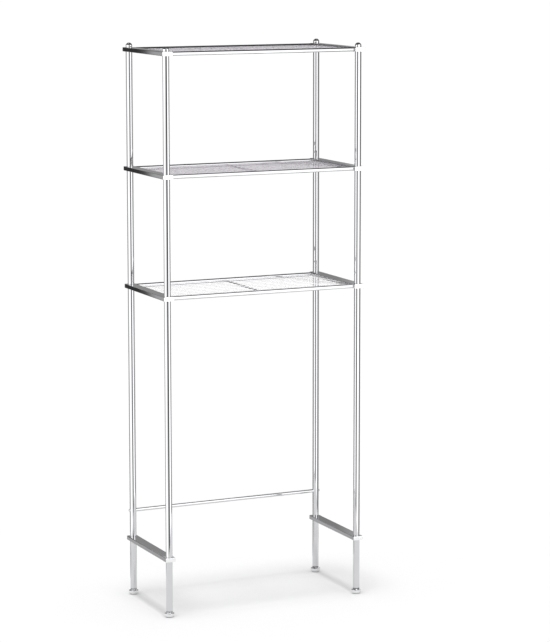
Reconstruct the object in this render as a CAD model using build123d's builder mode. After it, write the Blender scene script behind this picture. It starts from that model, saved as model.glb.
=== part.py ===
"""Over-the-toilet storage rack in chromed steel tube.

Origin: centre of the footprint on the floor. +X to the user's right, +Y to the wall, +Z up. Millimetres.
Four posts of screwed-together tube sections carry three wire shelves, two side brackets and a rear rod.
"""

import os

from build123d import *

# Overall layout
POST_SPACING_X = 596.0  # left post axis to right post axis
POST_SPACING_Y = 274.0  # front post axis to rear post axis
LOW_SHELF_UNDERSIDE = 910.5  # clear height for the toilet and its cistern
SHELF_GAP = 330.0  # clear height between two shelves
BRACKET_UNDERSIDE = 162.0
REAR_ROD_HEIGHT = 252.0  # rod axis above the floor

# Post tube and what is inside its ends
TUBE_R = 9.5
TUBE_BORE_R = 8.5
INSERT_LENGTH = 14.0
THREAD_BORE_R = 4.0
STUD_R = 3.95
STUD_BITE = 12.0  # how far a stud goes into an insert
STUD_HOLE_R = 4.25

# Flat-tube end rails and brackets
RAIL_WIDTH = 30.0
RAIL_THICKNESS = 12.0
RAIL_LENGTH = 300.0
RAIL_WALL = 1.2
RAIL_CORNER_R = 1.6
CAP_THICKNESS = 2.0
CAP_PLUG_DEPTH = 4.0
CAP_EDGE_R = 0.8

# Round front and rear rails, wires and cross bar of a shelf
ROUND_RAIL_R = 6.0
ROUND_RAIL_BORE_R = 5.0
WIRE_COUNT = 9
WIRE_R = 1.25
WIRE_DROP = 4.25  # wire axis below the rail's top face
CROSS_BAR_R = 2.5
WELD_DEPTH = 0.3  # how far a wire is set into the cross bar

# Rear rod and its screws
ROD_R = 5.0
ROD_BORE_R = 4.0
ROD_PLUG_LENGTH = 16.0
SCREW_R = 2.5
SCREW_HOLE_R = 2.6
SCREW_LENGTH = 32.0
SCREW_HEAD_R = 4.5
SCREW_HEAD_HEIGHT = 3.6
SCREW_SADDLE_DEPTH = 1.2

# Domed finial
FINIAL_WALL_HEIGHT = 6.5
FINIAL_DOME_HEIGHT = 7.0
FINIAL_FOOT_CHAMFER = 0.5

# Levelling foot
CUP_TOP = 14.2
COLLAR_HEIGHT = 2.4
COLLAR_R = 9.0
FOOT_PLAY = 0.4  # gap under the tube when the foot is screwed right in
CUP_NECK_R = 9.3
SHOULDER_SAG = 0.5  # how far the middle of the cup's hollow shoulder is below a straight slope
FOOT_RIM_R = 14.0
FOOT_RIM_TOP = 11.2
FOOT_RIM_BOTTOM = 4.6
FOOT_SKIRT_BOTTOM = 1.5
FOOT_UNDERSIDE_R = 12.0
PAD_R = 11.5
PAD_THICKNESS = 3.0
PAD_EDGE = 0.5
FOOT_SCREW_HEAD_R = 6.5
FOOT_SCREW_HEAD_HEIGHT = 3.5
FOOT_SCREW_REACH = 26.0  # length of foot screw above the collar

# Worked-out values
HALF_X = POST_SPACING_X / 2
HALF_Y = POST_SPACING_Y / 2
CORNERS = {
    "front_left": (-HALF_X, -HALF_Y),
    "front_right": (HALF_X, -HALF_Y),
    "rear_left": (-HALF_X, HALF_Y),
    "rear_right": (HALF_X, HALF_Y),
}
SIDES = {"left": -1, "right": 1}
SHELF_PITCH = SHELF_GAP + RAIL_THICKNESS
SHELVES = {
    "low": LOW_SHELF_UNDERSIDE,
    "mid": LOW_SHELF_UNDERSIDE + SHELF_PITCH,
    "top": LOW_SHELF_UNDERSIDE + 2 * SHELF_PITCH,
}
RAIL_LEVELS = {"bracket": BRACKET_UNDERSIDE, **SHELVES}
FOOT_HEIGHT = CUP_TOP + COLLAR_HEIGHT
TUBES = {
    "foot_tube": (FOOT_HEIGHT + FOOT_PLAY, BRACKET_UNDERSIDE),
    "leg_tube": (BRACKET_UNDERSIDE + RAIL_THICKNESS, SHELVES["low"]),
    "mid_tube": (SHELVES["low"] + RAIL_THICKNESS, SHELVES["mid"]),
    "top_tube": (SHELVES["mid"] + RAIL_THICKNESS, SHELVES["top"]),
}
FLAT_TUBE_LENGTH = RAIL_LENGTH - 2 * CAP_THICKNESS
ROUND_RAIL_LENGTH = POST_SPACING_X - RAIL_WIDTH
WIRE_PITCH = POST_SPACING_Y / (WIRE_COUNT + 1)
FINIAL_BASE = SHELVES["top"] + RAIL_THICKNESS

os.makedirs("parts", exist_ok=True)


def upright_plane(x, y):
    """A vertical plane through a post axis, whose sketch Y is the height above the floor."""
    return Plane(origin=(x, y, 0), x_dir=(1, 0, 0), z_dir=(0, -1, 0))


def along_y_plane(x, y, z):
    """A plane whose normal is +Y, for sections that run from front to back."""
    return Plane(origin=(x, y, z), x_dir=(1, 0, 0), z_dir=(0, 1, 0))


# ---- Post tubes: one node for each section of each post ----
for tube_name, (bottom, top) in TUBES.items():
    for corner, (x, y) in CORNERS.items():
        with BuildPart() as tube:
            with BuildSketch(Plane.XY.offset(bottom)):
                with Locations((x, y)):
                    Circle(TUBE_R)
                    Circle(TUBE_BORE_R, mode=Mode.SUBTRACT)
            extrude(amount=top - bottom)
            if tube_name == "leg_tube" and y > 0:
                with BuildSketch(Plane.YZ.offset(x - TUBE_R)):
                    with Locations((y, REAR_ROD_HEIGHT)):
                        Circle(SCREW_HOLE_R)
                extrude(amount=2 * TUBE_R, mode=Mode.SUBTRACT)
        tube.part.label = f"{tube_name}_{corner}"
        export_step(tube.part, f"parts/{tube_name}_{corner}.step")

# ---- Threaded inserts, one pressed in each tube end, in a lower and an upper group ----
INSERT_GROUPS = {
    "lower_tube_inserts": ("foot_tube", "leg_tube"),
    "upper_tube_inserts": ("mid_tube", "top_tube"),
}
for group_name, tube_names in INSERT_GROUPS.items():
    with BuildPart() as inserts:
        for tube_name in tube_names:
            bottom, top = TUBES[tube_name]
            for insert_base in (bottom, top - INSERT_LENGTH):
                with BuildSketch(Plane.XY.offset(insert_base)):
                    with Locations(*CORNERS.values()):
                        Circle(TUBE_BORE_R)
                        Circle(THREAD_BORE_R, mode=Mode.SUBTRACT)
                extrude(amount=INSERT_LENGTH)
    inserts.part.label = group_name
    export_step(inserts.part, f"parts/{group_name}.step")

# ---- Joining studs through the brackets, the lowest shelf and the middle shelf ----
with BuildPart() as post_studs:
    for level in ("bracket", "low", "mid"):
        with BuildSketch(Plane.XY.offset(RAIL_LEVELS[level] - STUD_BITE)):
            with Locations(*CORNERS.values()):
                Circle(STUD_R)
        extrude(amount=RAIL_THICKNESS + 2 * STUD_BITE)
post_studs.part.label = "post_studs"
export_step(post_studs.part, "parts/post_studs.step")

# ---- Flat-tube end rails of the shelves, and the two lower side brackets ----
for level, underside in RAIL_LEVELS.items():
    for side, sign in SIDES.items():
        rail_x = sign * HALF_X
        with BuildPart() as rail:
            with BuildSketch(along_y_plane(rail_x, -FLAT_TUBE_LENGTH / 2, underside + RAIL_THICKNESS / 2)):
                RectangleRounded(RAIL_WIDTH, RAIL_THICKNESS, RAIL_CORNER_R)
                RectangleRounded(
                    RAIL_WIDTH - 2 * RAIL_WALL,
                    RAIL_THICKNESS - 2 * RAIL_WALL,
                    RAIL_CORNER_R - RAIL_WALL,
                    mode=Mode.SUBTRACT,
                )
            extrude(amount=FLAT_TUBE_LENGTH)
            with Locations(
                (rail_x, -HALF_Y, underside + RAIL_THICKNESS),
                (rail_x, HALF_Y, underside + RAIL_THICKNESS),
            ):
                Hole(STUD_HOLE_R)
        rail_name = f"{side}_bracket" if level == "bracket" else f"{level}_shelf_{side}_rail"
        rail.part.label = rail_name
        export_step(rail.part, f"parts/{rail_name}.step")

# ---- End caps: a lid over each open end of a flat tube, with a short plug inside it ----
with BuildPart() as end_caps:
    for underside in RAIL_LEVELS.values():
        for x in (-HALF_X, HALF_X):
            for sign in (-1, 1):
                cap_z = underside + RAIL_THICKNESS / 2
                lid_y = sign * FLAT_TUBE_LENGTH / 2
                with BuildSketch(along_y_plane(x, lid_y, cap_z)):
                    RectangleRounded(RAIL_WIDTH, RAIL_THICKNESS, RAIL_CORNER_R)
                extrude(amount=sign * (CAP_THICKNESS - CAP_EDGE_R))
                with BuildSketch(along_y_plane(x, lid_y + sign * (CAP_THICKNESS - CAP_EDGE_R), cap_z)):
                    RectangleRounded(RAIL_WIDTH, RAIL_THICKNESS, RAIL_CORNER_R)
                extrude(amount=sign * CAP_EDGE_R, taper=40)
                with BuildSketch(along_y_plane(x, lid_y, cap_z)):
                    RectangleRounded(
                        RAIL_WIDTH - 2 * RAIL_WALL,
                        RAIL_THICKNESS - 2 * RAIL_WALL,
                        RAIL_CORNER_R - RAIL_WALL,
                    )
                extrude(amount=-sign * CAP_PLUG_DEPTH)
end_caps.part.label = "rail_end_caps"
export_step(end_caps.part, "parts/rail_end_caps.step")

# ---- Round front and rear rails, wires and cross bar of each shelf ----
for level, underside in SHELVES.items():
    rail_axis_z = underside + RAIL_THICKNESS / 2
    for rail_side, rail_y in (("front", -HALF_Y), ("rear", HALF_Y)):
        with BuildPart() as round_rail:
            with BuildSketch(Plane.YZ.offset(-ROUND_RAIL_LENGTH / 2)):
                with Locations((rail_y, rail_axis_z)):
                    Circle(ROUND_RAIL_R)
                    Circle(ROUND_RAIL_BORE_R, mode=Mode.SUBTRACT)
            extrude(amount=ROUND_RAIL_LENGTH)
        round_rail.part.label = f"{level}_shelf_{rail_side}_rail"
        export_step(round_rail.part, f"parts/{level}_shelf_{rail_side}_rail.step")

    wire_z = underside + RAIL_THICKNESS - WIRE_DROP
    with BuildPart() as wires:
        with BuildSketch(Plane.YZ.offset(-ROUND_RAIL_LENGTH / 2)):
            with Locations((0, wire_z)):
                with GridLocations(WIRE_PITCH, 1, WIRE_COUNT, 1):
                    Circle(WIRE_R)
        extrude(amount=ROUND_RAIL_LENGTH)
    wires.part.label = f"{level}_shelf_wires"
    export_step(wires.part, f"parts/{level}_shelf_wires.step")

    bar_z = wire_z - WIRE_R - CROSS_BAR_R + WELD_DEPTH
    with BuildPart() as cross_bar:
        with BuildSketch(along_y_plane(0, -HALF_Y, bar_z)):
            Circle(CROSS_BAR_R)
        extrude(amount=POST_SPACING_Y)
        # both ends are notched to the round rails that they are welded to
        for rail_y in (-HALF_Y, HALF_Y):
            with BuildSketch(Plane.YZ.offset(-2 * CROSS_BAR_R)):
                with Locations((rail_y, rail_axis_z)):
                    Circle(ROUND_RAIL_R)
            extrude(amount=4 * CROSS_BAR_R, mode=Mode.SUBTRACT)
    cross_bar.part.label = f"{level}_shelf_cross_bar"
    export_step(cross_bar.part, f"parts/{level}_shelf_cross_bar.step")

# ---- Rear rod, notched to the rear legs, with a threaded plug in each end ----
with BuildPart() as rear_rod:
    with BuildSketch(Plane.YZ.offset(-HALF_X)):
        with Locations((HALF_Y, REAR_ROD_HEIGHT)):
            Circle(ROD_R)
            Circle(ROD_BORE_R, mode=Mode.SUBTRACT)
    extrude(amount=POST_SPACING_X)
    with BuildSketch(Plane.XY.offset(REAR_ROD_HEIGHT - 2 * ROD_R)):
        with Locations((-HALF_X, HALF_Y), (HALF_X, HALF_Y)):
            Circle(TUBE_R)
    extrude(amount=4 * ROD_R, mode=Mode.SUBTRACT)
rear_rod.part.label = "rear_rod"
export_step(rear_rod.part, "parts/rear_rod.step")

with BuildPart() as rod_plugs:
    for sign in SIDES.values():
        with BuildSketch(Plane.YZ.offset(sign * (HALF_X - TUBE_R - 1))):
            with Locations((HALF_Y, REAR_ROD_HEIGHT)):
                Circle(ROD_BORE_R)
                Circle(SCREW_R, mode=Mode.SUBTRACT)
        extrude(amount=-sign * ROD_PLUG_LENGTH)
rod_plugs.part.label = "rear_rod_plugs"
export_step(rod_plugs.part, "parts/rear_rod_plugs.step")

# ---- Round-headed screws that hold the rear rod, one through each rear leg ----
with BuildPart() as rod_screws:
    for sign in SIDES.values():
        screw_seat_x = sign * (HALF_X + TUBE_R)
        head_top_x = screw_seat_x + sign * SCREW_HEAD_HEIGHT
        saddle_x = screw_seat_x - sign * SCREW_SADDLE_DEPTH
        with BuildSketch(Plane.XY.offset(REAR_ROD_HEIGHT)):
            with BuildLine():
                Polyline(
                    (head_top_x, HALF_Y),
                    (saddle_x, HALF_Y),
                    (saddle_x, HALF_Y + SCREW_HEAD_R),
                    (screw_seat_x, HALF_Y + SCREW_HEAD_R),
                )
                ThreePointArc(
                    (screw_seat_x, HALF_Y + SCREW_HEAD_R),
                    (screw_seat_x + sign * 0.68 * SCREW_HEAD_HEIGHT, HALF_Y + 0.72 * SCREW_HEAD_R),
                    (head_top_x, HALF_Y),
                )
            make_face()
        revolve(axis=Axis((0, HALF_Y, REAR_ROD_HEIGHT), (1, 0, 0)))
    # the underside of each head follows the leg that it clamps
    with BuildSketch(Plane.XY.offset(REAR_ROD_HEIGHT - TUBE_R)):
        with Locations((-HALF_X, HALF_Y), (HALF_X, HALF_Y)):
            Circle(TUBE_R)
    extrude(amount=2 * TUBE_R, mode=Mode.SUBTRACT)
    for sign in SIDES.values():
        with BuildSketch(Plane.YZ.offset(sign * (HALF_X + TUBE_R))):
            with Locations((HALF_Y, REAR_ROD_HEIGHT)):
                Circle(SCREW_R)
        extrude(amount=-sign * SCREW_LENGTH)
rod_screws.part.label = "rear_rod_screws"
export_step(rod_screws.part, "parts/rear_rod_screws.step")

# ---- Finials: a domed cap over each post, on a threaded shank through the top rail ----
for corner, (x, y) in CORNERS.items():
    with BuildPart() as finial:
        with BuildSketch(upright_plane(x, y)):
            with BuildLine():
                Polyline(
                    (0, FINIAL_BASE + FINIAL_WALL_HEIGHT + FINIAL_DOME_HEIGHT),
                    (0, FINIAL_BASE),
                    (TUBE_R - FINIAL_FOOT_CHAMFER, FINIAL_BASE),
                    (TUBE_R, FINIAL_BASE + FINIAL_FOOT_CHAMFER),
                    (TUBE_R, FINIAL_BASE + FINIAL_WALL_HEIGHT),
                )
                TangentArc(
                    (0, FINIAL_BASE + FINIAL_WALL_HEIGHT + FINIAL_DOME_HEIGHT),
                    (TUBE_R, FINIAL_BASE + FINIAL_WALL_HEIGHT),
                    tangent=(1, 0),
                )
            make_face()
        revolve(axis=Axis((x, y, 0), (0, 0, 1)))
        with BuildSketch(Plane.XY.offset(FINIAL_BASE)):
            with Locations((x, y)):
                Circle(STUD_R)
        extrude(amount=-(RAIL_THICKNESS + STUD_BITE))
    finial.part.label = f"finial_{corner}"
    export_step(finial.part, f"parts/finial_{corner}.step")

# ---- Levelling feet: a flared cup, a collar on it, a sole under it and a screw up into the foot tube ----
for corner, (x, y) in CORNERS.items():
    with BuildPart() as cup:
        with BuildSketch(upright_plane(x, y)):
            with BuildLine():
                Polyline((STUD_R, PAD_THICKNESS), (STUD_R, CUP_TOP), (CUP_NECK_R, CUP_TOP))
                ThreePointArc(
                    (CUP_NECK_R, CUP_TOP),
                    ((CUP_NECK_R + FOOT_RIM_R) / 2, (CUP_TOP + FOOT_RIM_TOP) / 2 - SHOULDER_SAG),
                    (FOOT_RIM_R, FOOT_RIM_TOP),
                )
                Line((FOOT_RIM_R, FOOT_RIM_TOP), (FOOT_RIM_R, FOOT_RIM_BOTTOM))
                TangentArc(
                    (FOOT_RIM_R, FOOT_RIM_BOTTOM),
                    (FOOT_UNDERSIDE_R, FOOT_SKIRT_BOTTOM),
                    tangent=(0, -1),
                )
                Polyline(
                    (FOOT_UNDERSIDE_R, FOOT_SKIRT_BOTTOM),
                    (PAD_R, FOOT_SKIRT_BOTTOM),
                    (PAD_R, PAD_THICKNESS),
                    (STUD_R, PAD_THICKNESS),
                )
            make_face()
        revolve(axis=Axis((x, y, 0), (0, 0, 1)))
        with BuildSketch(Plane.XY.offset(PAD_THICKNESS)):
            with Locations((x, y)):
                Circle(FOOT_SCREW_HEAD_R)
        extrude(amount=FOOT_SCREW_HEAD_HEIGHT, mode=Mode.SUBTRACT)
    cup.part.label = f"foot_cup_{corner}"
    export_step(cup.part, f"parts/foot_cup_{corner}.step")

    with BuildPart() as collar:
        with BuildSketch(Plane.XY.offset(CUP_TOP)):
            with Locations((x, y)):
                Circle(COLLAR_R)
                Circle(STUD_R, mode=Mode.SUBTRACT)
        extrude(amount=COLLAR_HEIGHT)
    collar.part.label = f"foot_collar_{corner}"
    export_step(collar.part, f"parts/foot_collar_{corner}.step")

    with BuildPart() as pad:
        with BuildSketch():
            with Locations((x, y)):
                Circle(PAD_R)
        extrude(amount=PAD_THICKNESS)
        chamfer(pad.edges().group_by(Axis.Z)[0], PAD_EDGE)
    pad.part.label = f"foot_pad_{corner}"
    export_step(pad.part, f"parts/foot_pad_{corner}.step")

    with BuildPart() as foot_screw:
        with BuildSketch(Plane.XY.offset(PAD_THICKNESS)):
            with Locations((x, y)):
                Circle(FOOT_SCREW_HEAD_R)
        extrude(amount=FOOT_SCREW_HEAD_HEIGHT)
        with BuildSketch(Plane.XY.offset(PAD_THICKNESS + FOOT_SCREW_HEAD_HEIGHT)):
            with Locations((x, y)):
                Circle(STUD_R)
        extrude(amount=FOOT_HEIGHT + FOOT_SCREW_REACH - PAD_THICKNESS - FOOT_SCREW_HEAD_HEIGHT)
    foot_screw.part.label = f"foot_stud_{corner}"
    export_step(foot_screw.part, f"parts/foot_stud_{corner}.step")
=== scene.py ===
# %% [markdown]
# # A chromed storage rack that stands over a toilet
# The rack is four posts of chromed steel tube, three wire shelves, two side brackets near the floor,
# a rod across the back and four levelling feet. The design already exists as a CAD model, so this
# lesson loads it as a fixed frame and makes the finished, visible pieces around it. Everything is in
# metres, with the floor at Z 0, the wall on the +Y side and the user on the -Y side.

# %% Load the frame
import math

import bmesh
import bpy
from mathutils import Matrix, Vector


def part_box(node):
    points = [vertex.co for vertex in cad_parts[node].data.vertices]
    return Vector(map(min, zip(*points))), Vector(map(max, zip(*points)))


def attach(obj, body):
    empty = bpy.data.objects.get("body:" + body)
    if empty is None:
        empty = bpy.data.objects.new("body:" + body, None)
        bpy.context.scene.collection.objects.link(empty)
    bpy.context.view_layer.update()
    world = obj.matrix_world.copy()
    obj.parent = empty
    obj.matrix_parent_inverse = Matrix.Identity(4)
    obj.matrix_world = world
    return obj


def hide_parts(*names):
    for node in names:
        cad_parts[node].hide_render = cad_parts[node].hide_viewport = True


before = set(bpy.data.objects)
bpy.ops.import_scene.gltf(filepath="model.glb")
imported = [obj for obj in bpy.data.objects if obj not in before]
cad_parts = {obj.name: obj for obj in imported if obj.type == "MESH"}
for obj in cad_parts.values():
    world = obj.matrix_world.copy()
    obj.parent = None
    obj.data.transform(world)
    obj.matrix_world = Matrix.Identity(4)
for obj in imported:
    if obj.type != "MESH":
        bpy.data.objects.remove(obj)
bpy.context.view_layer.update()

MM = 0.001

# %% [markdown]
# ## The camera
# A tall thin rack looks stretched in a wide lens, because its feet and its finials are at such
# different distances. A long lens from far away keeps the posts nearly parallel. The camera stands
# to the left of the rack, a little above the top shelf, and looks slightly down. A small lens shift
# does part of that looking down, as an architect's camera does, so that the posts lean even less.

# %% Camera
CAMERA_PLACE = (-2.924, -6.470, 1.947)
CAMERA_TURN = math.radians(25.37)  # from straight ahead (+Y) towards the right
CAMERA_TILT = math.radians(7.90)  # down from level
CAMERA_LENS = 138.7
CAMERA_SHIFT = (-0.022, -0.079)
CAMERA_REACH = 200  # metres, past the floor's far edge

lens = bpy.data.cameras.new("studio_camera")
lens.lens = CAMERA_LENS
lens.shift_x, lens.shift_y = CAMERA_SHIFT
lens.clip_end = CAMERA_REACH
camera = bpy.data.objects.new("studio_camera", lens)
camera.location = CAMERA_PLACE
camera.rotation_euler = (math.radians(90) - CAMERA_TILT, 0, -CAMERA_TURN)
bpy.context.scene.collection.objects.link(camera)
bpy.context.scene.camera = camera
print("camera is", round(Vector(CAMERA_PLACE).length, 2), "m from the middle of the rack")

# %% [markdown]
# ## Small helpers for materials
# A material is a set of linked nodes. Three short functions keep the recipes readable: one starts a
# material, one adds a node with its settings, and one joins two sockets. A value that is the same all
# over a surface is typed into the shader's own socket, and only what varies is linked.


# %% Material helpers
def new_finish(name):
    """A new material with its main shader."""
    finish = bpy.data.materials.new(name)
    finish.use_nodes = True
    return finish, finish.node_tree.nodes["Principled BSDF"]


def add_node(finish, kind, settings=None, **sockets):
    """Add a node, set its own settings, and type values into its input sockets."""
    node = finish.node_tree.nodes.new(kind)
    for key, value in (settings or {}).items():
        setattr(node, key, value)
    for key, value in sockets.items():
        node.inputs[key.replace("_", " ")].default_value = value
    return node


def join(finish, source, target):
    """Link an output socket to an input socket."""
    finish.node_tree.links.new(source, target)


# %% [markdown]
# ## The floor
# The floor is one large white sheet, so wide that its far edge lies outside every view. A faint
# mottling keeps it from being a single flat colour. It is stage, not part of the rack.

# %% Floor
FLOOR_HALF = 60.0
FLOOR_TONES = ((0.715, 0.715, 0.715, 1), (0.725, 0.725, 0.725, 1))

floor_finish, floor_shader = new_finish("white_floor")
floor_shader.inputs["Roughness"].default_value = 0.9
floor_shader.inputs["Specular IOR Level"].default_value = 0.1
floor_place = add_node(floor_finish, "ShaderNodeTexCoord")
floor_mottle = add_node(floor_finish, "ShaderNodeTexNoise", Scale=3.0, Detail=2.0)
floor_range = add_node(floor_finish, "ShaderNodeMix", {"data_type": "RGBA"})
floor_range.inputs[6].default_value, floor_range.inputs[7].default_value = FLOOR_TONES
join(floor_finish, floor_place.outputs["Object"], floor_mottle.inputs["Vector"])
join(floor_finish, floor_mottle.outputs["Fac"], floor_range.inputs["Factor"])
join(floor_finish, floor_range.outputs[2], floor_shader.inputs["Base Color"])

floor_bm = bmesh.new()
bmesh.ops.create_grid(floor_bm, x_segments=1, y_segments=1, size=FLOOR_HALF)
floor_mesh = bpy.data.meshes.new("floor")
floor_bm.to_mesh(floor_mesh)
floor_bm.free()
floor_mesh.materials.append(floor_finish)
floor = bpy.data.objects.new("floor", floor_mesh)
bpy.context.scene.collection.objects.link(floor)
print("floor:", 2 * FLOOR_HALF, "m square")

# %% [markdown]
# ## Light from everywhere
# The world is an even white, which lights the floor and is the white behind the rack. One soft sun
# straight above adds the last part of the floor's light. The shelves hold some of it back, which
# leaves a faint patch of shade between the feet. A lamp near by would fade with distance and leave a
# bright pool on the floor, and a sun is even everywhere. The picture is shown with the Standard view,
# so that white stays white.

# %% World and sun
WORLD_STRENGTH = 1.0
SUN_STRENGTH = 1.30
SUN_WIDTH = math.radians(9)
SUN_LEAN = (math.radians(2), math.radians(-2), 0)

world = bpy.data.worlds.new("white_studio")
bpy.context.scene.world = world
world.use_nodes = True
world.node_tree.nodes["Background"].inputs["Color"].default_value = (1, 1, 1, 1)
world.node_tree.nodes["Background"].inputs["Strength"].default_value = WORLD_STRENGTH
bpy.context.scene.view_settings.view_transform = "Standard"

sun_data = bpy.data.lights.new("overhead_sun", "SUN")
sun_data.energy = SUN_STRENGTH
sun_data.angle = SUN_WIDTH
sun = bpy.data.objects.new("overhead_sun", sun_data)
sun.rotation_euler = SUN_LEAN
bpy.context.scene.collection.objects.link(sun)
print("world", WORLD_STRENGTH, "and sun", SUN_STRENGTH)

# %% [markdown]
# ## The light tent
# Chrome has no colour of its own: it shows what stands round it. A studio puts chrome in a white tent
# with a few dark strips, because the strips draw the thin dark lines that make a round tube look
# round. This tent is a wall, a roof and a card on the floor, and only reflections see them.
# The wall is white to the left and to the front right, has a dark strip on each side of the white
# front, and is a dull grey behind. The roof is white over its front edge only, which gives a rail a
# bright face and a dark upper line. The grey card behind the rack gives the legs their grey. A
# ColorRamp along a gradient says how bright each direction is.

# %% Light tent
TENT_RADIUS = 1.0
TENT_HEIGHT = 1.95
TENT_POWER = 1.9
# brightness round the wall: degrees from the front (negative to the left), share of full power
WALL_LEVELS = (
    (-180, 0.17),
    (-154, 0.12),
    (-147, 0.03),
    (-140.9, 0.02),
    (-139.4, 0.24),
    (-136, 0.30),
    (-118, 0.40),
    (-104, 0.62),
    (-96, 1.0),
    (-72, 1.0),
    (-52, 0.55),
    (-44, 0.35),
    (-36, 0.03),
    (-14, 0.03),
    (-8, 0.3),
    (1, 1.0),
    (46, 1.0),
    (54, 0.14),
    (60, 0.08),
    (84, 0.10),
    (90, 0.30),
    (102, 0.20),
    (110, 0.45),
    (126, 0.4),
    (138, 0.14),
    (160, 0.16),
    (180, 0.17),
)
# a grey card just over the floor behind the rack, and its brightness from left to right
CARD_WIDTH = 1.5
CARD_DEPTH = 0.66
CARD_MIDDLE_Y = 0.63
CARD_HEIGHT = 4 * MM
CARD_LEVELS = ((0.0, 0.26), (1.0, 0.30))
# brightness along the roof: share of the way from the front edge to the back edge, share of power
ROOF_LEVELS = ((0.0, 1.0), (0.22, 1.0), (0.30, 0.05), (1.0, 0.03))


def tent_finish(name, gradient, rotation, scale, location, levels):
    """A glowing sheet whose brightness follows a gradient over the sheet's own coordinates."""
    finish = bpy.data.materials.new(name)
    finish.use_nodes = True
    finish.node_tree.nodes.remove(finish.node_tree.nodes["Principled BSDF"])
    place = add_node(finish, "ShaderNodeTexCoord")
    turn = add_node(finish, "ShaderNodeMapping", Location=location, Rotation=rotation, Scale=scale)
    shade = add_node(finish, "ShaderNodeTexGradient", {"gradient_type": gradient})
    ramp = add_node(finish, "ShaderNodeValToRGB")
    glow = add_node(finish, "ShaderNodeEmission", Strength=TENT_POWER)
    stops = ramp.color_ramp.elements
    while len(stops) < len(levels):
        stops.new(0.5)
    for stop, (share, level) in zip(stops, levels):
        stop.position = share
        stop.color = (level, level, level, 1)
    join(finish, place.outputs["Object"], turn.inputs["Vector"])
    join(finish, turn.outputs["Vector"], shade.inputs["Vector"])
    join(finish, shade.outputs["Fac"], ramp.inputs["Fac"])
    join(finish, ramp.outputs["Color"], glow.inputs["Color"])
    join(finish, glow.outputs["Emission"], finish.node_tree.nodes["Material Output"].inputs["Surface"])
    return finish


def tent_sheet(name, bm, finish):
    """A stage sheet that only shows in reflections: it is not seen, lights nothing and casts nothing."""
    mesh = bpy.data.meshes.new(name)
    bm.to_mesh(mesh)
    bm.free()
    mesh.materials.append(finish)
    sheet = bpy.data.objects.new(name, mesh)
    bpy.context.scene.collection.objects.link(sheet)
    for kind in ("camera", "diffuse", "transmission", "volume_scatter", "shadow"):
        setattr(sheet, f"visible_{kind}", False)
    return sheet


FULL_TURN = 360
wall_bm = bmesh.new()
bmesh.ops.create_cone(
    wall_bm,
    cap_ends=False,
    segments=128,
    radius1=TENT_RADIUS,
    radius2=TENT_RADIUS,
    depth=TENT_HEIGHT,
    matrix=Matrix.Translation((0, 0, TENT_HEIGHT / 2)),
)
wall_levels = [(degrees / FULL_TURN + 0.5, level) for degrees, level in WALL_LEVELS]
# the radial gradient starts at its own -X, so it is turned until it starts straight behind the rack
wall_turn = (0, 0, math.radians(90))
wall_finish = tent_finish("tent_wall", "RADIAL", wall_turn, (1, 1, 1), (0, 0, 0), wall_levels)
tent_sheet("tent_wall", wall_bm, wall_finish)

roof_bm = bmesh.new()
roof_place = Matrix.Translation((0, 0, TENT_HEIGHT))
bmesh.ops.create_circle(roof_bm, cap_ends=True, segments=128, radius=TENT_RADIUS, matrix=roof_place)
# the linear gradient runs along its own X, so X and Y are swapped by a quarter turn and centred
roof_turn = (0, 0, math.radians(-90))
roof_scale = (0.5 / TENT_RADIUS, 0.5 / TENT_RADIUS, 1)
roof_finish = tent_finish("tent_roof", "LINEAR", roof_turn, roof_scale, (0.5, 0, 0), ROOF_LEVELS)
tent_sheet("tent_roof", roof_bm, roof_finish)

card_bm = bmesh.new()
card_place = Matrix.Translation((0, CARD_MIDDLE_Y, CARD_HEIGHT))
card_shape = Matrix.Diagonal((CARD_WIDTH, CARD_DEPTH, 1, 1))
bmesh.ops.create_grid(card_bm, x_segments=1, y_segments=1, size=0.5, matrix=card_place @ card_shape)
card_scale = (1 / CARD_WIDTH, 1 / CARD_WIDTH, 1)
card_finish = tent_finish("tent_card", "LINEAR", (0, 0, 0), card_scale, (0.5, 0, 0), CARD_LEVELS)
tent_sheet("tent_card", card_bm, card_finish)
print("tent:", TENT_RADIUS, "m round and", TENT_HEIGHT, "m high")

# %% [markdown]
# ## Bright chrome
# Chrome plate is a mirror, but a real one is never perfect. The tube under it was drawn through a die
# and polished on a belt, which leaves very fine lines along or round the piece and a slow wobble in
# the reflections, and handling leaves a thin uneven film. The recipe has all three: stretched noise
# for the polishing lines, a broad noise for the wobble, and a middle-sized noise that moves the
# roughness and the colour a little. Each kind of piece has its own lines, because each was polished
# another way. On the real rack every piece has the same plating. The tints of the wires, the lowest
# cross bar, the feet, finials and end caps are painted reflection: the small tent can't give each of
# them the tone that it should show, so its colour is made lighter or darker until it does. Each
# shelf's wires get their own painted tone, and the lowest cross bar is painted dark. The wires are
# rougher too and have no lines, because lines finer than a wire only make it sparkle.

# %% Chrome recipe
CHROME_BRIGHT = (0.660, 0.662, 0.675, 1)
CHROME_DULL = (0.605, 0.606, 0.622, 1)
PLATE_TINTS = (CHROME_BRIGHT, CHROME_DULL)
# Painted reflection: each shelf's wires get their own lighter or darker tint in place of the tone they
# reflect.
WIRE_PAINTED_REFLECTION_TINTS = {
    "low": ((0.860, 0.855, 0.870, 1), (0.790, 0.785, 0.805, 1)),
    "mid": ((0.530, 0.505, 0.540, 1), (0.480, 0.455, 0.490, 1)),
    "top": ((0.800, 0.770, 0.815, 1), (0.720, 0.690, 0.735, 1)),
}
# Painted reflection: the lowest cross bar's tint is near black, a painted dark reflection.
BAR_PAINTED_REFLECTION_TINTS = {**WIRE_PAINTED_REFLECTION_TINTS, "low": ((0.200, 0.200, 0.210, 1), (0.150, 0.150, 0.160, 1))}
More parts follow.
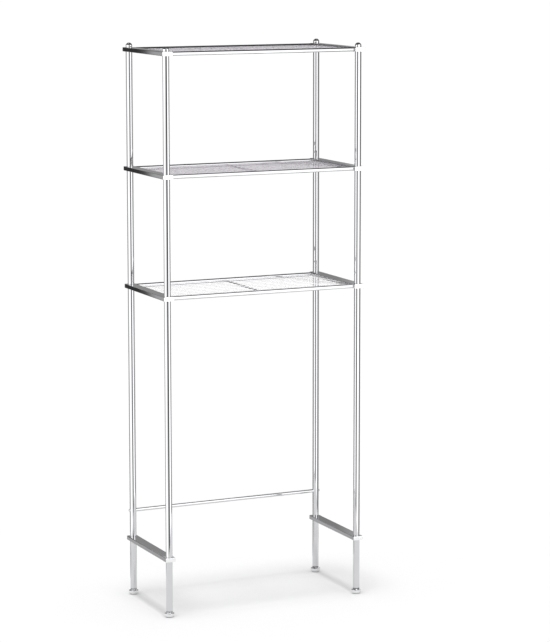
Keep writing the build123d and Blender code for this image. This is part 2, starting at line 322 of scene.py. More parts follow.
# Painted reflection: the feet and finials get a lighter tint than the plate.
FOOT_PAINTED_REFLECTION_TINTS = ((0.820, 0.822, 0.830, 1), (0.760, 0.762, 0.775, 1))
# Painted reflection: the end caps get the lightest tint, a painted highlight.
CAP_PAINTED_REFLECTION_TINTS = ((0.900, 0.902, 0.910, 1), (0.840, 0.842, 0.850, 1))
LINE_DEPTH = 0.05  # strength of the bump from the polishing lines
FINE, LONG = 2600, 30  # polishing lines a metre, across and along the direction of polishing


def chrome(name, line_scale, polished, filmed, wobble, film_and_painted_reflection_tints=PLATE_TINTS, line_depth=LINE_DEPTH):
    """Chrome whose polishing lines repeat line_scale times a metre along X, Y and Z.

    Polished and filmed are the roughness of clean and of filmed places, and wobble is the strength
    of the slow waves.
    """
    finish, shader = new_finish(name)
    shader.inputs["Metallic"].default_value = 1.0
    place = add_node(finish, "ShaderNodeTexCoord")
    stretch = add_node(finish, "ShaderNodeMapping", Scale=line_scale)
    lines = add_node(finish, "ShaderNodeTexNoise", Scale=1.0, Detail=4.0, Roughness=0.65)
    film = add_node(finish, "ShaderNodeTexNoise", Scale=24.0, Detail=5.0, Roughness=0.6)
    swell = add_node(finish, "ShaderNodeTexNoise", Scale=9.0, Detail=1.0)
    colour = add_node(finish, "ShaderNodeMix", {"data_type": "RGBA"})
    # the tints are the film's colour range, and for wires, bars, feet and caps also a painted reflection
    colour.inputs[6].default_value, colour.inputs[7].default_value = film_and_painted_reflection_tints
    gloss = add_node(finish, "ShaderNodeMapRange", To_Min=polished, To_Max=filmed)
    gloss.inputs["From Min"].default_value = 0.35
    gloss.inputs["From Max"].default_value = 0.75
    line_bump = add_node(finish, "ShaderNodeBump", Strength=line_depth, Distance=0.05 * MM)
    swell_bump = add_node(finish, "ShaderNodeBump", Strength=wobble, Distance=0.3 * MM)
    join(finish, place.outputs["Object"], stretch.inputs["Vector"])
    join(finish, stretch.outputs["Vector"], lines.inputs["Vector"])
    for noise in (film, swell):
        join(finish, place.outputs["Object"], noise.inputs["Vector"])
    join(finish, film.outputs["Fac"], colour.inputs["Factor"])
    join(finish, film.outputs["Fac"], gloss.inputs["Value"])
    join(finish, colour.outputs[2], shader.inputs["Base Color"])
    join(finish, gloss.outputs["Result"], shader.inputs["Roughness"])
    join(finish, swell.outputs["Fac"], swell_bump.inputs["Height"])
    join(finish, lines.outputs["Fac"], line_bump.inputs["Height"])
    join(finish, swell_bump.outputs["Normal"], line_bump.inputs["Normal"])
    join(finish, line_bump.outputs["Normal"], shader.inputs["Normal"])
    return finish


chrome_tube = chrome("chrome_tube", (FINE, FINE, LONG), 0.015, 0.06, 0.12)
chrome_flat = chrome("chrome_flat", (FINE, LONG, FINE), 0.03, 0.09, 0.15)
chrome_rod = chrome("chrome_rod", (LONG, FINE, FINE), 0.02, 0.07, 0.10)
# Painted reflection: each shelf's wire finish carries that shelf's painted tint.
chrome_wires_painted_reflection = {
    level: chrome(f"chrome_wire_{level}", (LONG, FINE, FINE), 0.18, 0.30, 0.02, film_and_painted_reflection_tints, 0)
    for level, film_and_painted_reflection_tints in WIRE_PAINTED_REFLECTION_TINTS.items()
}
# Painted reflection: each shelf's cross bar finish carries its painted tint, darkest on the lowest shelf.
chrome_bars_painted_reflection = {
    level: chrome(f"chrome_bar_{level}", (FINE, LONG, FINE), 0.12, 0.24, 0.02, film_and_painted_reflection_tints, 0)
    for level, film_and_painted_reflection_tints in BAR_PAINTED_REFLECTION_TINTS.items()
}
# Painted reflection: the caps' finish carries their lighter painted tint.
chrome_cap_painted_reflection = chrome("chrome_cap_painted_reflection", (LONG, FINE, LONG), 0.04, 0.10, 0.05, CAP_PAINTED_REFLECTION_TINTS)
# Painted reflection: the finish for the feet and finials carries their lighter painted tint.
chrome_foot = chrome("chrome_foot", (LONG, LONG, FINE), 0.02, 0.07, 0.10, FOOT_PAINTED_REFLECTION_TINTS)
chrome_screw = chrome("chrome_screw", (FINE, LONG, LONG), 0.03, 0.10, 0.10)
print("chrome finishes:", [m.name for m in bpy.data.materials if m.name.startswith("chrome")])

# %% [markdown]
# ## Zinc hardware and the plastic parts
# The inserts, joining studs and foot screws are zinc plated, which is duller than chrome and breaks
# into small grey and bluish patches. The soles under the feet are a pale grey moulded plastic with a
# fine even grain, and the collars over the feet are the same plastic in near black. That near black
# is partly painted shade: it also stands for the shade in the gap where the tube meets the foot cup.
# All of them are cheap to make from one noise that drives colour, gloss and bump together.


# %% Zinc and plastic
def patchy(name, colours, metallic, gloss_range, scale, bump_depth):
    """A finish whose colour and gloss wander between two values in patches."""
    finish, shader = new_finish(name)
    shader.inputs["Metallic"].default_value = metallic
    place = add_node(finish, "ShaderNodeTexCoord")
    patches = add_node(finish, "ShaderNodeTexNoise", Scale=scale, Detail=6.0, Roughness=0.7)
    colour = add_node(finish, "ShaderNodeMix", {"data_type": "RGBA"})
    colour.inputs[6].default_value = colours[0]
    colour.inputs[7].default_value = colours[1]
    gloss = add_node(finish, "ShaderNodeMapRange", To_Min=gloss_range[0], To_Max=gloss_range[1])
    bump = add_node(finish, "ShaderNodeBump", Strength=0.4, Distance=bump_depth)
    join(finish, place.outputs["Object"], patches.inputs["Vector"])
    join(finish, patches.outputs["Fac"], colour.inputs["Factor"])
    join(finish, patches.outputs["Fac"], gloss.inputs["Value"])
    join(finish, patches.outputs["Fac"], bump.inputs["Height"])
    join(finish, colour.outputs[2], shader.inputs["Base Color"])
    join(finish, gloss.outputs["Result"], shader.inputs["Roughness"])
    join(finish, bump.outputs["Normal"], shader.inputs["Normal"])
    return finish


zinc = patchy(
    "zinc_plate", ((0.50, 0.52, 0.55, 1), (0.66, 0.65, 0.60, 1)), 1.0, (0.22, 0.42), 420, 0.04 * MM
)
sole_plastic = patchy(
    "sole_plastic", ((0.30, 0.31, 0.32, 1), (0.36, 0.36, 0.37, 1)), 0.0, (0.42, 0.62), 1500, 0.05 * MM
)
# Partly painted shade: the collar's near black also stands for the shade in the gap between tube and cup.
collar_plastic = patchy(
    "collar_plastic", ((0.07, 0.07, 0.075, 1), (0.11, 0.11, 0.115, 1)), 0.0, (0.38, 0.58), 1500, 0.05 * MM
)
print("other finishes:", zinc.name, sole_plastic.name, collar_plastic.name)

# %% [markdown]
# ## Reading places from the frame
# The frame says where everything is. The middle of a leg tube is a post's axis, its width is the
# tube's diameter, and so on. Working from those measures means that a change in the CAD model moves
# the visible pieces too.

# %% Places
CORNERS = ("front_left", "front_right", "rear_left", "rear_right")
LEVELS = ("low", "mid", "top")


def middle(node):
    """The centre of a CAD node's box."""
    low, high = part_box(node)
    return (low + high) / 2


def size(node):
    """The width, depth and height of a CAD node's box."""
    low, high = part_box(node)
    return high - low


post_axis = {corner: middle(f"leg_tube_{corner}") for corner in CORNERS}
tube_r = size("leg_tube_front_left").x / 2
for corner, place in post_axis.items():
    print(corner, "post axis at", [round(value / MM, 1) for value in place.xy], "mm")
print("tube radius:", round(tube_r / MM, 2), "mm")

# %% [markdown]
# ## Turning pieces on a lathe
# Nearly every piece of this rack is round: tubes, rods, wires, feet, finials, screws. Each is drawn as
# half of its cross-section, a short list of points, and spun a full turn about its axis, which is what
# a lathe does. The outline's round stretches come from an arc helper, so an outline needs only a few
# numbers. A piece is spun upright at the origin and then carried to its place, with its place in its
# mesh.


# %% Lathe helpers
def arc(centre, radius, start, stop, steps):
    """Outline points on a round stretch, from one angle to another in degrees."""
    angles = [math.radians(start + (stop - start) * step / steps) for step in range(steps + 1)]
    return [(centre[0] + radius * math.cos(a), centre[1] + radius * math.sin(a)) for a in angles]


def lathe(bm, outline, place, steps=64, ring=False):
    """Spin an outline of (radius, height) points a full turn. A ring outline closes on itself."""
    before = set(bm.verts)
    profile = [bm.verts.new((radius, 0, height)) for radius, height in outline]
    ends = profile[1:] + profile[:1] if ring else profile[1:]
    edges = [bm.edges.new(pair) for pair in zip(profile, ends)]
    bmesh.ops.spin(
        bm,
        geom=profile + edges,
        cent=(0, 0, 0),
        axis=(0, 0, 1),
        dvec=(0, 0, 0),
        angle=math.tau,
        steps=steps,
        use_merge=True,
        use_duplicate=False,
    )
    bmesh.ops.transform(bm, matrix=place, verts=[v for v in bm.verts if v not in before])


ALONG_X = Matrix.Rotation(math.radians(90), 4, "Y")
ALONG_Y = Matrix.Rotation(math.radians(-90), 4, "X")
MERGE_GAP = 0.002 * MM
SHARP_ANGLE = math.radians(40)


def hand_over(name, bm, finish, slot, body, *nodes):
    """Make an object of a bmesh that stands for its CAD nodes and rides on their body."""
    bmesh.ops.remove_doubles(bm, verts=bm.verts, dist=MERGE_GAP)
    bmesh.ops.recalc_face_normals(bm, faces=bm.faces)
    mesh = bpy.data.meshes.new(name)
    bm.to_mesh(mesh)
    bm.free()
    mesh.shade_smooth()
    mesh.set_sharp_from_angle(angle=SHARP_ANGLE)
    mesh.materials.append(finish)
    piece = bpy.data.objects.new(name, mesh)
    bpy.context.scene.collection.objects.link(piece)
    # flat faces keep flat reflections when large faces count for more than the small round ones
    even = piece.modifiers.new("even_shading", "WEIGHTED_NORMAL")
    even.keep_sharp = True
    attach(piece, body)
    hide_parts(*nodes)
    return piece


print("lathe ready")

# %% [markdown]
# ## The post tubes
# Each post is four lengths of tube that screw together through the shelves, so that the rack packs
# flat. A tube is a ring-shaped outline: outer wall, bore, and a small round lip at each end, where the
# cut edge was broken before plating. The lips are what makes the joints show as fine lines.

# %% Post tubes
TUBE_WALL = 1.0 * MM
LIP_R = 0.4 * MM
TUBE_SECTIONS = ("foot_tube", "leg_tube", "mid_tube", "top_tube")


def tube_outline(outer, wall, bottom, top, lip):
    """The cut half of a tube with rounded outer lips."""
    bore = outer - wall
    return [
        (bore, bottom),
        *arc((outer - lip, bottom + lip), lip, -90, 0, 4),
        *arc((outer - lip, top - lip), lip, 0, 90, 4),
        (bore, top),
    ]


for section in TUBE_SECTIONS:
    for corner in CORNERS:
        node = f"{section}_{corner}"
        low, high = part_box(node)
        bm = bmesh.new()
        outline = tube_outline(tube_r, TUBE_WALL, low.z, high.z, LIP_R)
        lathe(bm, outline, Matrix.Translation((*post_axis[corner].xy, 0)), ring=True)
        hand_over(f"{node}_chrome", bm, chrome_tube, "chrome_tube", "frame", node)
    print(section, "from", round(low.z / MM, 1), "to", round(high.z / MM, 1), "mm")

# %% [markdown]
# ## The finials
# A finial is a domed nut that screws down through the top shelf and holds it. It is as wide as the
# post, with a short straight wall, a fine groove where a spanner strap would sit, and a dome that is
# a little flatter than half a ball. One outline that starts and ends on the axis gives a closed solid
# with its shank. The groove's middle lies on the wall, so it is cut in by its own radius.

# %% Finials
SHANK_R = 3.95 * MM
GROOVE_R = 0.35 * MM
GROOVE_RISE = 1.6 * MM
DOME_HEIGHT = 7.0 * MM

for corner in CORNERS:
    node = f"finial_{corner}"
    low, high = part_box(node)
    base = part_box("top_shelf_left_rail")[1].z
    dome_r = (tube_r**2 + DOME_HEIGHT**2) / (2 * DOME_HEIGHT)
    dome_start = math.degrees(math.acos(tube_r / dome_r))
    groove = base + GROOVE_RISE
    outline = [
        (0, low.z),
        (SHANK_R, low.z),
        (SHANK_R, base),
        *arc((tube_r - LIP_R, base + LIP_R), LIP_R, -90, 0, 4),
        (tube_r, groove - GROOVE_R),
        *arc((tube_r, groove), GROOVE_R, 270, 90, 6),
        *arc((0, high.z - dome_r), dome_r, dome_start, 90, 20),
    ]
    outline[-1] = (0, high.z)
    bm = bmesh.new()
    lathe(bm, outline, Matrix.Translation((*post_axis[corner].xy, 0)))
    # The finials take the foot finish and its lighter painted-reflection tint.
    hand_over(f"{node}_chrome", bm, chrome_foot, "chrome_tube", "frame", node)
print("finials", round((high.z - base) / MM, 1), "mm high over the top rail")

# %% [markdown]
# ## The levelling feet
# Each foot is a flared chrome cup on a screw, with a dark plastic collar over it and a pale plastic
# sole under it. The cup starts as wide as the tube above, slopes out in a slightly hollow curve to a
# rim, and rounds under. The collar is a short ring that keeps the tube's edge off the chrome, and its
# near black is partly painted shade for the gap between tube and cup. The cup's lighter chrome tint
# is painted reflection. The sole has two shallow grooves for grip. Cup, collar, sole and screw ride
# on the foot's own body, because they turn down together to level the rack.

# %% Foot cups and soles
CUP_HOLE_R = 3.95 * MM
CUP_NECK_R = 9.3 * MM
RIM_TOP = 11.2 * MM
RIM_BOTTOM = 4.6 * MM
RIM_LIP_R = 0.6 * MM
UNDER_RIM_R = 2.6 * MM
SKIRT_R = 12.0 * MM
SHOULDER_SAG = 0.5 * MM
SOLE_TOP = 3.0 * MM
SOLE_EDGE = 0.5 * MM
SOLE_GROOVES = (0.8, 0.5)  # share of the sole's radius
SOLE_GROOVE_DEPTH = 0.6 * MM
SOLE_GROOVE_MOUTH = 0.8 * MM  # half of the groove's width
SOLE_GROOVE_BED = 0.5 * MM
COLLAR_LIP_R = 0.3 * MM


def shoulder(inner, outer, top, bottom, steps=10):
    """Outline points of a slope that is a little hollow in the middle."""
    points = []
    for step in range(1, steps + 1):
        share = step / steps
        height = top + (bottom - top) * share - 4 * SHOULDER_SAG * share * (1 - share)
        points.append((inner + (outer - inner) * share, height))
    return points


for corner in CORNERS:
    low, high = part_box(f"foot_cup_{corner}")
    rim_r = size(f"foot_cup_{corner}").x / 2
    sole_r = size(f"foot_pad_{corner}").x / 2
    place = Matrix.Translation((*post_axis[corner].xy, 0))
    body = f"foot_{corner}"
    outline = [
        (CUP_HOLE_R, high.z),
        (CUP_NECK_R, high.z),
        *shoulder(CUP_NECK_R, rim_r - RIM_LIP_R, high.z, RIM_TOP),
        *arc((rim_r - RIM_LIP_R, RIM_TOP - RIM_LIP_R), RIM_LIP_R, 70, 0, 5),
        *arc((rim_r - UNDER_RIM_R, RIM_BOTTOM), UNDER_RIM_R, 0, -78, 8),
        (SKIRT_R, low.z),
        (sole_r, low.z),
        (sole_r, SOLE_TOP),
        (CUP_HOLE_R, SOLE_TOP),
    ]
    bm = bmesh.new()
    lathe(bm, outline, place, steps=72, ring=True)
    # The cups take the foot finish and its lighter painted-reflection tint.
    hand_over(f"foot_cup_{corner}_chrome", bm, chrome_foot, "chrome_foot", body, f"foot_cup_{corner}")

    node = f"foot_collar_{corner}"
    low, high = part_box(node)
    outline = tube_outline(size(node).x / 2, size(node).x / 2 - CUP_HOLE_R, low.z, high.z, COLLAR_LIP_R)
    bm = bmesh.new()
    lathe(bm, outline, place, steps=64, ring=True)
    # The collar's near-black finish is partly painted shade for the gap under the tube.
    hand_over(f"{node}_plastic", bm, collar_plastic, "collar_plastic", body, node)

    outline = [(0, SOLE_TOP), (sole_r, SOLE_TOP), (sole_r, SOLE_EDGE), (sole_r - SOLE_EDGE, 0)]
    for share in SOLE_GROOVES:
        groove_r = share * sole_r
        outline += [
            (groove_r + SOLE_GROOVE_MOUTH, 0),
            (groove_r + SOLE_GROOVE_BED, SOLE_GROOVE_DEPTH),
            (groove_r - SOLE_GROOVE_BED, SOLE_GROOVE_DEPTH),
            (groove_r - SOLE_GROOVE_MOUTH, 0),
        ]
    outline.append((0, 0))
    bm = bmesh.new()
    lathe(bm, outline, place, steps=72)
    hand_over(f"foot_sole_{corner}", bm, sole_plastic, "sole_plastic", body, f"foot_pad_{corner}")
print("foot rim:", round(2 * rim_r / MM, 1), "mm across")

# %% [markdown]
# ## The foot screws
# When a foot is turned down, a few turns of its screw show below the tube. A screw thread is a spin
# that climbs: the outline of one tooth goes round, and rises by one pitch each turn. The next turn
# starts where the last one ended, so merging the doubled points joins them into one surface.

# %% Foot screws
THREAD_PITCH = 1.25 * MM
THREAD_DEPTH = 0.65 * MM
THREAD_STEPS = 28  # round one turn
FOOT_SCREW_HEAD = 3.5 * MM
# one tooth: root or crest, and height as a share of the pitch
TOOTH = (("root", 0), ("crest", 0.4), ("crest", 0.55), ("root", 0.95), ("root", 1))


def climb(bm, crest_r, bottom, turns, place):
    """A screw thread from bottom upwards, closed at both ends."""
    before = set(bm.verts)
    radii = {"root": crest_r - THREAD_DEPTH, "crest": crest_r}
    points = [(radii[part], 0, bottom + share * THREAD_PITCH) for part, share in TOOTH]
    profile = [bm.verts.new(point) for point in points]
    edges = [bm.edges.new(pair) for pair in zip(profile, profile[1:])]
    bmesh.ops.spin(
        bm,
        geom=profile + edges,
        cent=(0, 0, 0),
        axis=(0, 0, 1),
        dvec=(0, 0, THREAD_PITCH / THREAD_STEPS),
        angle=math.tau * turns,
        steps=THREAD_STEPS * turns,
        use_merge=False,
        use_duplicate=False,
    )
    made = [v for v in bm.verts if v not in before]
    bmesh.ops.remove_doubles(bm, verts=made, dist=MERGE_GAP)
    bmesh.ops.holes_fill(bm, edges=[e for e in bm.edges if e.is_boundary], sides=0)
    bmesh.ops.transform(bm, matrix=place, verts=[v for v in bm.verts if v not in before])


for corner in CORNERS:
    node = f"foot_stud_{corner}"
    low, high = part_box(node)
    head_r = size(node).x / 2
    head_top = low.z + FOOT_SCREW_HEAD
    place = Matrix.Translation((*post_axis[corner].xy, 0))
    turns = int((high.z - head_top) / THREAD_PITCH) - 1
    bm = bmesh.new()
    climb(bm, SHANK_R, head_top, turns, place)
    lathe(bm, [(0, low.z), (head_r, low.z), (head_r, head_top), (0, head_top)], place, steps=48)
    hand_over(f"{node}_zinc", bm, zinc, "zinc_hardware", f"foot_{corner}", node)
print("foot screws:", turns, "turns of", THREAD_PITCH / MM, "mm pitch")

# %% [markdown]
# ## The flat rails and their end caps
# Each shelf hangs between two flat tubes, 30 by 12 mm with small soft corners, and two more tie the
# legs together near the floor. The section starts as one rectangle, a vertex bevel rounds its corners,
# and extruding it gives the length. Opening the ends and giving the skin a thickness makes a tube. The
# caps are the same rounded rectangle, thinner, with a bevelled face.

# %% Flat rails
RAIL_WALL = 1.2 * MM
RAIL_CORNER_R = 1.6 * MM
UPRIGHT_SECTION = Matrix.Rotation(math.radians(90), 4, "X")  # local Y becomes up, local Z the front


def rounded_section(bm, width, height, corner_r):
    """One flat face with rounded corners, facing local +Z."""
    corners = bmesh.ops.create_grid(bm, x_segments=1, y_segments=1, size=0.5)["verts"]
    bmesh.ops.scale(bm, vec=(width, height, 1), verts=corners)
    bmesh.ops.bevel(
        bm,
        geom=corners,
        offset=corner_r,
        offset_type="OFFSET",
        segments=8,
        profile=0.5,
        affect="VERTICES",
        material=-1,
    )
    return bm.faces[:]


def pull(bm, faces, depth):
    """Extrude faces along local Z and return the faces at the far end."""
    made = bmesh.ops.extrude_face_region(bm, geom=faces)["geom"]
    moved = [part for part in made if isinstance(part, bmesh.types.BMVert)]
    bmesh.ops.translate(bm, vec=(0, 0, depth), verts=moved)
    return [part for part in made if isinstance(part, bmesh.types.BMFace)]


rail_nodes = [f"{side}_bracket" for side in ("left", "right")]
rail_nodes += [f"{level}_shelf_{side}_rail" for level in LEVELS for side in ("left", "right")]
for node in rail_nodes:
    extent = size(node)
    bm = bmesh.new()
    section = rounded_section(bm, extent.x, extent.z, RAIL_CORNER_R)
    pull(bm, section, extent.y)
    ends = [face for face in bm.faces if len(face.verts) > 4]
    bmesh.ops.delete(bm, geom=ends, context="FACES_ONLY")
    bmesh.ops.recalc_face_normals(bm, faces=bm.faces)
    bmesh.ops.solidify(bm, geom=bm.faces[:], thickness=RAIL_WALL)
    centred = Matrix.Translation(middle(node)) @ UPRIGHT_SECTION
    centred = centred @ Matrix.Translation((0, 0, -extent.y / 2))
    bmesh.ops.transform(bm, matrix=centred, verts=bm.verts)
    rail = hand_over(f"{node}_chrome", bm, chrome_flat, "chrome_flat", "frame", node)
    print(node, "made", [round(value / MM, 1) for value in rail.dimensions], "mm")

# %% [markdown]
# ## The end caps
# A cap is a thin lid with a short plug behind it. The same lid is needed sixteen times, so it is built
# once, kept as a mesh, and copied into one piece with its place for each rail end.

# %% End caps
CAP_THICKNESS = 2.0 * MM
CAP_BEVEL = 0.8 * MM
CAP_PLUG_DEPTH = 4.0 * MM

cap_width, cap_height = size(rail_nodes[0]).x, size(rail_nodes[0]).z
lid_bm = bmesh.new()
front = pull(lid_bm, rounded_section(lid_bm, cap_width, cap_height, RAIL_CORNER_R), CAP_THICKNESS)
rim = {edge for face in front for edge in face.edges}
bmesh.ops.bevel(
    lid_bm,
    geom=list(rim),
    offset=CAP_BEVEL,
    offset_type="OFFSET",
    segments=4,
    profile=0.5,
    affect="EDGES",
    material=-1,
)
plug_bm = bmesh.new()
plug_face = rounded_section(
    plug_bm, cap_width - 2 * RAIL_WALL, cap_height - 2 * RAIL_WALL, RAIL_CORNER_R - RAIL_WALL
)
pull(plug_bm, plug_face, CAP_PLUG_DEPTH)
bmesh.ops.translate(plug_bm, vec=(0, 0, -CAP_PLUG_DEPTH), verts=plug_bm.verts)
for part in (lid_bm, plug_bm):
    bmesh.ops.holes_fill(part, edges=[e for e in part.edges if e.is_boundary], sides=0)
cap_meshes = [bpy.data.meshes.new(f"cap_{name}") for name in ("lid", "plug")]
for part, mesh in zip((lid_bm, plug_bm), cap_meshes):
    part.to_mesh(mesh)
    part.free()


def add_copy(bm, mesh, place):
    """Copy a mesh into a bmesh at its place."""
    before = set(bm.verts)
    bm.from_mesh(mesh)
    bmesh.ops.transform(bm, matrix=place, verts=[v for v in bm.verts if v not in before])


bm = bmesh.new()
for node in rail_nodes:
    half_length = size(node).y / 2
    for half_turn in (0, math.pi):
        place = Matrix.Translation(middle(node)) @ Matrix.Rotation(half_turn, 4, "Z")
        place = place @ UPRIGHT_SECTION @ Matrix.Translation((0, 0, half_length))
        for mesh in cap_meshes:
            add_copy(bm, mesh, place)
# The caps take their lighter painted-reflection finish.
hand_over("rail_end_caps_chrome", bm, chrome_cap_painted_reflection, "chrome_flat", "frame", "rail_end_caps")
print("end caps:", 2 * len(rail_nodes))

# %% [markdown]
# ## The round rails
# A round rail joins the two flat rails at the front of each shelf and another at the back. Its ends are
# brazed to the flat rails' sides. The tube runs a little way into the flat rail's rounded corner, where
# the braze fills the gap, and a small round bead shows where they meet.

# %% Round rails
ROUND_WALL = 1.0 * MM
ROUND_LIP_R = 0.2 * MM
BEAD_R = 0.8 * MM
BEAD_SUNK = 0.3  # share of the bead's radius that lies inside the tube
BEAD_AHEAD = 0.2  # share of the bead's radius between its middle and the flat rail's side
INTO_CORNER = 0.9 * MM


def bead(bm, radius, place, steps=48):
    """A ring of weld round a tube."""
    ring = arc((radius - BEAD_SUNK * BEAD_R, 0), BEAD_R, 0, 360, 12)[:-1]
    lathe(bm, ring, place, steps=steps, ring=True)


for level in LEVELS:
    for side in ("front", "rear"):
        node = f"{level}_shelf_{side}_rail"
        centre = middle(node)
        reach = size(node).x / 2
        radius = size(node).z / 2
        place = Matrix.Translation(centre) @ ALONG_X
        bm = bmesh.new()
        end = reach + INTO_CORNER
        outline = tube_outline(radius, ROUND_WALL, -end, end, ROUND_LIP_R)
        lathe(bm, outline, place, steps=56, ring=True)
        for joint in (-reach, reach):
            bead(bm, radius, place @ Matrix.Translation((0, 0, joint + BEAD_AHEAD * BEAD_R)))
        hand_over(f"{node}_chrome", bm, chrome_rod, "chrome_rod", "frame", node)
    print(level, "round rails", round(2 * reach / MM, 1), "mm long,", round(2 * radius / MM, 1), "across")

# %% [markdown]
# ## The wires and the cross bar
# Nine straight wires make each shelf's deck. They are spot welded to the flat rails at their ends and to
# one cross bar under their middle. Each wire is a thin lathe outline with soft ends, and a flattened
# drop of metal marks each weld.

# %% Wires and cross bars
WIRE_COUNT = 9
NUGGET_R = 1.9 * MM
NUGGET_FLAT = 0.55
WIRE_TIP_R = 0.3 * MM
BAR_OVERLAP = 0.6 * MM  # how far the bar reaches into the rail at each end


def nugget(bm, centre, stretch):
    """A drop of weld metal: a small ball squeezed along one direction."""
    squeeze = Matrix.Diagonal((*stretch, 1))
    place = Matrix.Translation(centre) @ squeeze
    bmesh.ops.create_uvsphere(bm, u_segments=16, v_segments=10, radius=NUGGET_R, matrix=place)


for level in LEVELS:
    node = f"{level}_shelf_wires"
    low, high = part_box(node)
    wire_r = (high.z - low.z) / 2
    wire_z = (low.z + high.z) / 2
    reach = size(node).x / 2
    first_y, last_y = low.y + wire_r, high.y - wire_r
    bar = middle(f"{level}_shelf_cross_bar")
    bar_r = size(f"{level}_shelf_cross_bar").z / 2
    outline = [
        (0, -reach),
        *arc((wire_r - WIRE_TIP_R, WIRE_TIP_R - reach), WIRE_TIP_R, -90, 0, 3),
        *arc((wire_r - WIRE_TIP_R, reach - WIRE_TIP_R), WIRE_TIP_R, 0, 90, 3),
        (0, reach),
    ]
    bm = bmesh.new()
    for count in range(WIRE_COUNT):
        wire_y = first_y + (last_y - first_y) * count / (WIRE_COUNT - 1)
        lathe(bm, outline, Matrix.Translation((0, wire_y, wire_z)) @ ALONG_X, steps=20)
        for end in (-reach, reach):
            nugget(bm, (end, wire_y, wire_z), (NUGGET_FLAT, 1, 1))
        nugget(bm, (0, wire_y, wire_z - wire_r), (1, 1, NUGGET_FLAT))
    # Each shelf's wires take their own painted-reflection finish.
    hand_over(f"{node}_chrome", bm, chrome_wires_painted_reflection[level], "chrome_wire", "frame", node)

    node = f"{level}_shelf_cross_bar"
    half = size(node).y / 2 + BAR_OVERLAP
    outline = [(0, -half), (bar_r, -half), (bar_r, half), (0, half)]
    bm = bmesh.new()
    place = Matrix.Translation(bar) @ ALONG_Y
    lathe(bm, outline, place, steps=32)
    # Each shelf's cross bar takes its own painted-reflection finish; the lowest is painted dark.
    hand_over(f"{node}_chrome", bm, chrome_bars_painted_reflection[level], "chrome_wire", "frame", node)
print("wires", round(2 * wire_r / MM, 2), "mm thick; cross bar", round(2 * bar_r / MM, 2), "mm")

# %% [markdown]
# ## The rear rod
# One rod ties the rear legs together low down, where it clears the toilet. It is a tube like the
# posts, made on the lathe. A real rod's ends are cut hollow to fit the round legs. Here the ends stay
# straight and run a little into the legs, by the depth that a leg falls away over the rod's radius.

# %% Rear rod
ROD_WALL = 1.0 * MM
ROD_LIP_R = 0.1 * MM

low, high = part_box("rear_rod")
rod_r = (high.z - low.z) / 2
rod_axis = middle("rear_rod")
leg_gap = post_axis["rear_right"].x - post_axis["rear_left"].x - 2 * tube_r
notch = tube_r - math.sqrt(tube_r**2 - rod_r**2)
bm = bmesh.new()
half = leg_gap / 2 + notch
outline = tube_outline(rod_r, ROD_WALL, -half, half, ROD_LIP_R)
lathe(bm, outline, Matrix.Translation(rod_axis) @ ALONG_X, steps=48, ring=True)
hand_over("rear_rod_chrome", bm, chrome_rod, "chrome_rod", "frame", "rear_rod")
print("rear rod", round(leg_gap / MM, 1), "mm between the legs")

# %% [markdown]
# ## The rod's screws
# A round-headed screw goes through each rear leg from outside into the rod's end. The head is a
# flattened dome with a hexagon socket. The socket starts as the dome's flat top, drawn out of round
# into six straight sides, and then pushed in. The head's underside is sunk so that it meets the leg.

# %% Rod screws
HEAD_STEPS = 48
SOCKET_R = 1.7 * MM
SOCKET_DEPTH = 1.5 * MM
SOCKET_MARGIN = 1.35  # the flat top of the head against the socket's radius
SOCKET_RIM = 0.2 * MM
SCREW_R = 2.5 * MM
SCREW_LENGTH = 30.0 * MM

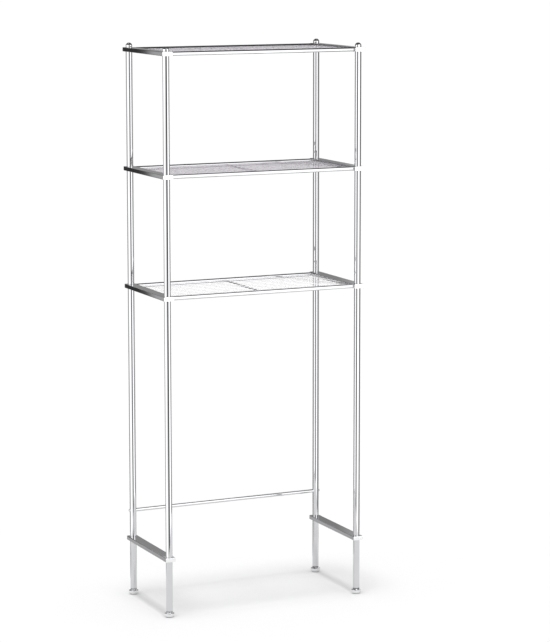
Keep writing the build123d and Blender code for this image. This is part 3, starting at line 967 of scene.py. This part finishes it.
screw_low, screw_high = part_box("rear_rod_screws")
head_r = (screw_high.z - screw_low.z) / 2
seat_x = post_axis["rear_right"].x + tube_r
head_height = screw_high.x - seat_x
saddle = tube_r - math.sqrt(tube_r**2 - head_r**2)
dome_r = (head_r**2 + head_height**2) / (2 * head_height)
dome_angle = math.degrees(math.asin(head_r / dome_r))
top_angle = math.degrees(math.asin(SOCKET_MARGIN * SOCKET_R / dome_r))
dome_centre = head_height - dome_r
bm = bmesh.new()
for side in (-1, 1):
    before = set(bm.verts)
    outline = [(0, -saddle), (head_r, -saddle), (head_r, 0)]
    outline += arc((0, dome_centre), dome_r, 90 - dome_angle, 90 - top_angle, 10)[1:]
    lathe(bm, outline, Matrix.Identity(4), steps=HEAD_STEPS)
    bmesh.ops.remove_doubles(bm, verts=[v for v in bm.verts if v not in before], dist=MERGE_GAP)
    rim_edges = [e for e in bm.edges if e.is_boundary and all(v not in before for v in e.verts)]
    top_face = bmesh.ops.contextual_create(bm, geom=rim_edges)["faces"]
    bmesh.ops.inset_region(bm, faces=top_face, thickness=SOCKET_RIM, use_even_offset=True)
    for vert in top_face[0].verts:
        angle = math.atan2(vert.co.y, vert.co.x) % math.radians(60) - math.radians(30)
        hexagon_r = SOCKET_R * math.cos(math.radians(30)) / math.cos(angle)
        vert.co.xy = vert.co.xy.normalized() * hexagon_r
    pushed = bmesh.ops.extrude_face_region(bm, geom=top_face)["geom"]
    bmesh.ops.translate(
        bm, vec=(0, 0, -SOCKET_DEPTH), verts=[p for p in pushed if isinstance(p, bmesh.types.BMVert)]
    )
    bmesh.ops.delete(bm, geom=[f for f in top_face if f.is_valid], context="FACES_ONLY")
    outwards = ALONG_X if side > 0 else ALONG_X.inverted()
    place = Matrix.Translation((side * seat_x, rod_axis.y, rod_axis.z)) @ outwards
    bmesh.ops.transform(bm, matrix=place, verts=[v for v in bm.verts if v not in before])
    shank = [(0, -SCREW_LENGTH), (SCREW_R, -SCREW_LENGTH), (SCREW_R, 0), (0, 0)]
    lathe(bm, shank, place, steps=24)
hand_over("rear_rod_screws_chrome", bm, chrome_screw, "chrome_screw", "frame", "rear_rod_screws")
print("screw heads", round(2 * head_r / MM, 1), "mm across")

# %% [markdown]
# ## The hidden hardware
# The inserts, joining studs and rod plugs are right as they are in the CAD model, and hardly show. They
# keep their CAD meshes and only get the zinc finish.

# %% Hidden hardware
for node in ("post_studs", "lower_tube_inserts", "upper_tube_inserts", "rear_rod_plugs"):
    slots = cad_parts[node].material_slots
    for slot in slots:
        slot.material = zinc
    print(node, "finished in", slots[0].material.name)
